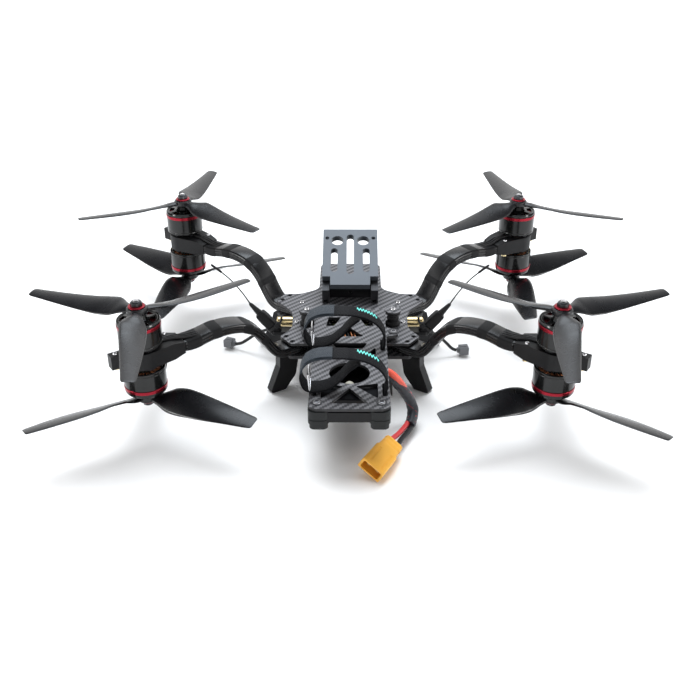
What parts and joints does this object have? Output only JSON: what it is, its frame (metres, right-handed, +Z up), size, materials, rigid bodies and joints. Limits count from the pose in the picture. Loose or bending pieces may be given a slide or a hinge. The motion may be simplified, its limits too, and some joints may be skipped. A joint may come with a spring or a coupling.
{
  "type": "quadcopter drone",
  "caption": "Coaxial quadcopter drone with gull-wing arms, stacked motors and propellers, carbon body plates, strapped battery tray and a tilted camera plate.",
  "frame": {"origin": "on the ground, midway between the motors on both sides", "axes": "+X to the right, +Y forward towards the camera plate, +Z up"},
  "size_m": [0.5232, 0.4321, 0.129],
  "materials": {
    "carbon_plate": "grey and black twill weave under satin resin",
    "printed_plastic": "matt black, fine layer lines",
    "arm_black": "satin black with wrapped bands",
    "camera_aluminium": "grey-blue anodised, fine blasted",
    "black_metal": "black anodised",
    "circuit_board": "dark solder mask",
    "webbing": "woven black nylon with a faint blue sheen",
    "black_rubber": "matt black",
    "brass": "polished",
    "lead_sleeve": "dark grey wrap, satin",
    "plug_yellow": "moulded yellow nylon",
    "propeller_black": "satin black moulding",
    "motor_black": "gloss black anodised with a red ring",
    "copper_winding": "enamelled copper on a dark core"
  },
  "bodies": {
    "airframe": {"top_plate": "carbon_plate", "bottom_plate": "carbon_plate", "battery_tray": "carbon_plate", "tray_frame": "printed_plastic", "camera_plate": "camera_aluminium", "camera_bracket": "black_metal", "flight_stack": "circuit_board", "battery_strap_front": "webbing", "battery_strap_rear": "webbing", "bobbin_left": "black_rubber", "bobbin_right": "black_rubber", "side_spacer_left": "brass", "side_spacer_right": "brass", "antenna_mount_left": "printed_plastic", "antenna_mount_right": "printed_plastic", "antenna_left": "black_rubber", "antenna_right": "black_rubber", "power_lead": "lead_sleeve", "power_plug": "plug_yellow", "pigtail_left": "black_rubber", "pigtail_right": "black_rubber", "pigtail_plug_left": "black_rubber", "pigtail_plug_right": "black_rubber", "arm_front_left": "arm_black", "arm_front_right": "arm_black", "arm_rear_left": "arm_black", "arm_rear_right": "arm_black", "motor_mount_front_left": "printed_plastic", "motor_mount_front_right": "printed_plastic", "motor_mount_rear_left": "printed_plastic", "motor_mount_rear_right": "printed_plastic", "landing_leg_front_left": "printed_plastic", "landing_leg_front_right": "printed_plastic", "landing_leg_rear_left": "printed_plastic", "landing_leg_rear_right": "printed_plastic", "motor_stator_front_left_upper": "copper_winding", "motor_stator_front_left_lower": "copper_winding", "motor_stator_front_right_upper": "copper_winding", "motor_stator_front_right_lower": "copper_winding", "motor_stator_rear_left_upper": "copper_winding", "motor_stator_rear_left_lower": "copper_winding", "motor_stator_rear_right_upper": "copper_winding", "motor_stator_rear_right_lower": "copper_winding"},
    "rotor_front_left_upper": {"motor_bell_front_left_upper": "motor_black", "propeller_front_left_upper": "propeller_black"},
    "rotor_front_left_lower": {"motor_bell_front_left_lower": "motor_black", "propeller_front_left_lower": "propeller_black"},
    "rotor_front_right_upper": {"motor_bell_front_right_upper": "motor_black", "propeller_front_right_upper": "propeller_black"},
    "rotor_front_right_lower": {"motor_bell_front_right_lower": "motor_black", "propeller_front_right_lower": "propeller_black"},
    "rotor_rear_left_upper": {"motor_bell_rear_left_upper": "motor_black", "propeller_rear_left_upper": "propeller_black"},
    "rotor_rear_left_lower": {"motor_bell_rear_left_lower": "motor_black", "propeller_rear_left_lower": "propeller_black"},
    "rotor_rear_right_upper": {"motor_bell_rear_right_upper": "motor_black", "propeller_rear_right_upper": "propeller_black"},
    "rotor_rear_right_lower": {"motor_bell_rear_right_lower": "motor_black", "propeller_rear_right_lower": "propeller_black"}
  },
  "joints": [
    {"name": "spin_front_left_upper", "type": "hinge", "parent": "airframe", "child": "rotor_front_left_upper", "pos_m": [-0.165, 0.115, 0.12], "axis": [0, 0, 1], "continuous": true},
    {"name": "spin_front_left_lower", "type": "hinge", "parent": "airframe", "child": "rotor_front_left_lower", "pos_m": [-0.165, 0.115, 0.042], "axis": [0, 0, 1], "continuous": true},
    {"name": "spin_front_right_upper", "type": "hinge", "parent": "airframe", "child": "rotor_front_right_upper", "pos_m": [0.165, 0.115, 0.12], "axis": [0, 0, 1], "continuous": true},
    {"name": "spin_front_right_lower", "type": "hinge", "parent": "airframe", "child": "rotor_front_right_lower", "pos_m": [0.165, 0.115, 0.042], "axis": [0, 0, 1], "continuous": true},
    {"name": "spin_rear_left_upper", "type": "hinge", "parent": "airframe", "child": "rotor_rear_left_upper", "pos_m": [-0.165, -0.115, 0.12], "axis": [0, 0, 1], "continuous": true},
    {"name": "spin_rear_left_lower", "type": "hinge", "parent": "airframe", "child": "rotor_rear_left_lower", "pos_m": [-0.165, -0.115, 0.042], "axis": [0, 0, 1], "continuous": true},
    {"name": "spin_rear_right_upper", "type": "hinge", "parent": "airframe", "child": "rotor_rear_right_upper", "pos_m": [0.165, -0.115, 0.12], "axis": [0, 0, 1], "continuous": true},
    {"name": "spin_rear_right_lower", "type": "hinge", "parent": "airframe", "child": "rotor_rear_right_lower", "pos_m": [0.165, -0.115, 0.042], "axis": [0, 0, 1], "continuous": true}
  ]
}
